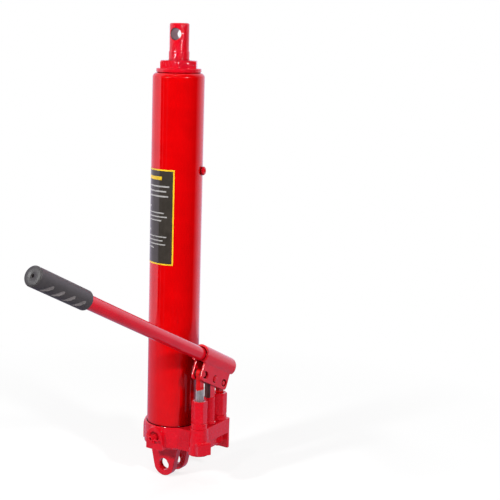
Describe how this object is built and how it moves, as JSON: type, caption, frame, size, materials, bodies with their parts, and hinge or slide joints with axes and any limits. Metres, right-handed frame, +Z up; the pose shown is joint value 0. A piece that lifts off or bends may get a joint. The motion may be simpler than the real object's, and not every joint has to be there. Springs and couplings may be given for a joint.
{
  "type": "long ram hydraulic jack",
  "caption": "Red long-ram hydraulic bottle jack with a clevis base, cross-drilled ram tip, twin hand pumps on a rocking handle socket and a release valve.",
  "frame": {"origin": "centre of the base clevis pin hole", "axes": "+Z up the ram, +X from the reservoir towards the pumps, +Y along the clevis pin, with the handle reaching out to -Y"},
  "size_m": [0.13, 0.4406, 0.6573],
  "materials": {
    "casting_red": "glossy red enamel over a rough casting",
    "paint_red": "glossy red enamel",
    "bright_steel": "ground steel",
    "ram_chrome": "hard chrome",
    "dark_steel": "oiled dark steel",
    "bronze": "machined",
    "seal_rubber": "matt",
    "grip_rubber": "satin grip sleeve",
    "label_black": "bare black panel with a yellow edge line"
  },
  "bodies": {
    "jack_body": {"base_casting": "casting_red", "clevis_yoke": "paint_red", "base_gasket": "seal_rubber", "reservoir_tube": "paint_red", "pressure_cylinder": "bright_steel", "cylinder_seal_washer": "bronze", "top_collar": "paint_red", "collar_o_ring": "seal_rubber", "gland_nut": "paint_red", "ram_guide_bush": "bronze", "rod_seal": "seal_rubber", "rod_wiper": "seal_rubber", "filler_plug": "paint_red", "filler_plug_washer": "seal_rubber", "front_pump_body": "paint_red", "rear_pump_body": "paint_red", "pump_body_washers": "bronze", "pump_rod_seals": "seal_rubber", "fulcrum_post": "paint_red", "fulcrum_pin": "paint_red", "fulcrum_pin_cotter": "bright_steel", "front_suction_spring": "dark_steel", "rear_suction_spring": "dark_steel", "suction_plugs": "dark_steel", "discharge_ball_stops": "dark_steel", "safety_spring": "dark_steel", "safety_plug": "dark_steel", "release_ball": "bright_steel", "label_panel": "label_black"},
    "piston": {"ram_piston": "bright_steel", "piston_cup_seal": "seal_rubber", "piston_wear_ring": "bronze"},
    "ram": {"ram_rod": "ram_chrome", "ram_tip": "paint_red", "piston_nut": "dark_steel"},
    "rocker": {"handle_socket": "paint_red"},
    "front_plunger_set": {"front_plunger": "bright_steel", "front_plunger_pin": "bright_steel", "front_pin_cotter": "bright_steel"},
    "rear_plunger_set": {"rear_plunger": "bright_steel", "rear_plunger_pin": "bright_steel", "rear_pin_cotter": "bright_steel"},
    "handle": {"handle_tube": "paint_red", "handle_grip": "grip_rubber"},
    "release_valve": {"release_valve_screw": "paint_red", "release_valve_cross_pin": "paint_red", "release_valve_o_ring": "seal_rubber"},
    "front_suction_check": {"front_suction_ball": "bright_steel"},
    "rear_suction_check": {"rear_suction_ball": "bright_steel"},
    "front_discharge_check": {"front_discharge_ball": "bright_steel"},
    "rear_discharge_check": {"rear_discharge_ball": "bright_steel"},
    "overload_check": {"safety_ball": "bright_steel"}
  },
  "joints": [
    {"name": "ram_slide", "type": "slide", "parent": "jack_body", "child": "piston", "axis": [0, 0, 1], "range_m": [0, 0.48]},
    {"name": "ram_swivel", "type": "hinge", "parent": "piston", "child": "ram", "pos_m": [0, 0, 0.3], "axis": [0, 0, 1], "continuous": true},
    {"name": "handle_pump", "type": "hinge", "parent": "jack_body", "child": "rocker", "pos_m": [0.0645, 0, 0.1381], "axis": [1, 0, 0], "range_deg": [0, 44]},
    {"name": "front_plunger_slide", "type": "slide", "parent": "jack_body", "child": "front_plunger_set", "axis": [0, 0, 1], "range_m": [-0.0215, 0]},
    {"name": "rear_plunger_slide", "type": "slide", "parent": "jack_body", "child": "rear_plunger_set", "axis": [0, 0, 1], "range_m": [0, 0.0215]},
    {"name": "handle_pull_out", "type": "slide", "parent": "rocker", "child": "handle", "axis": [0, -0.9026, 0.4305], "range_m": [0, 0.085]},
    {"name": "release_valve_turn", "type": "hinge", "parent": "jack_body", "child": "release_valve", "pos_m": [0, -0.04, 0.048], "axis": [0, -1, 0], "range_deg": [0, 540]},
    {"name": "front_suction_lift", "type": "slide", "parent": "jack_body", "child": "front_suction_check", "axis": [0, 0, -1], "range_m": [0, 0.0008], "stiffness_N_per_m": 60, "springref_m": -0.002, "deforming": ["front_suction_spring"]},
    {"name": "rear_suction_lift", "type": "slide", "parent": "jack_body", "child": "rear_suction_check", "axis": [0, 0, -1], "range_m": [0, 0.0008], "stiffness_N_per_m": 60, "springref_m": -0.002, "deforming": ["rear_suction_spring"]},
    {"name": "front_discharge_lift", "type": "slide", "parent": "jack_body", "child": "front_discharge_check", "axis": [-0.4741, 0.8805, 0], "range_m": [0, 0.0008]},
    {"name": "rear_discharge_lift", "type": "slide", "parent": "jack_body", "child": "rear_discharge_check", "axis": [-0.4741, -0.8805, 0], "range_m": [0, 0.0008]},
    {"name": "overload_lift", "type": "slide", "parent": "jack_body", "child": "overload_check", "axis": [-1, 0, 0], "range_m": [0, 0.0004], "stiffness_N_per_m": 60, "springref_m": -0.002}
  ],
  "couplings": [
    {"joint": "front_plunger_slide", "follows": "handle_pump", "m_per_rad": -0.02786},
    {"joint": "rear_plunger_slide", "follows": "handle_pump", "m_per_rad": 0.02786}
  ]
}
